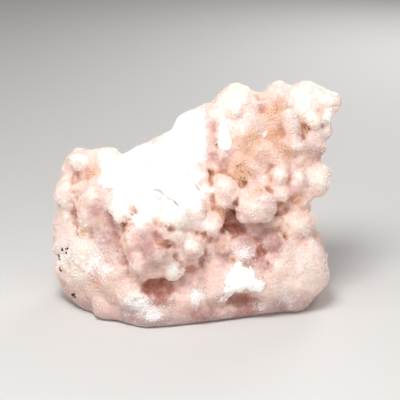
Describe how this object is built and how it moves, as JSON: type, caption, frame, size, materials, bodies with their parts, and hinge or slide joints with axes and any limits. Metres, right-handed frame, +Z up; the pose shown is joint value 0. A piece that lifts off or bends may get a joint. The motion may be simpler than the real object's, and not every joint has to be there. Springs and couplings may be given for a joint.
{
  "type": "drusy quartz mineral specimen",
  "caption": "Free-standing lump of pale pink drusy quartz: a broken white slope, clustered round knobs, a leaning knobbly peak and a crust of fine quartz points.",
  "frame": {"origin": "on the flat base, under the middle of the stone's box", "axes": "+Z up, +X along the stone's length towards the peak, -Y towards the drusy front"},
  "size_m": [0.1024, 0.0564, 0.0758],
  "materials": {
    "drusy_quartz": "satin"
  },
  "bodies": {
    "root": {"druse": "drusy_quartz"}
  },
  "joints": []
}
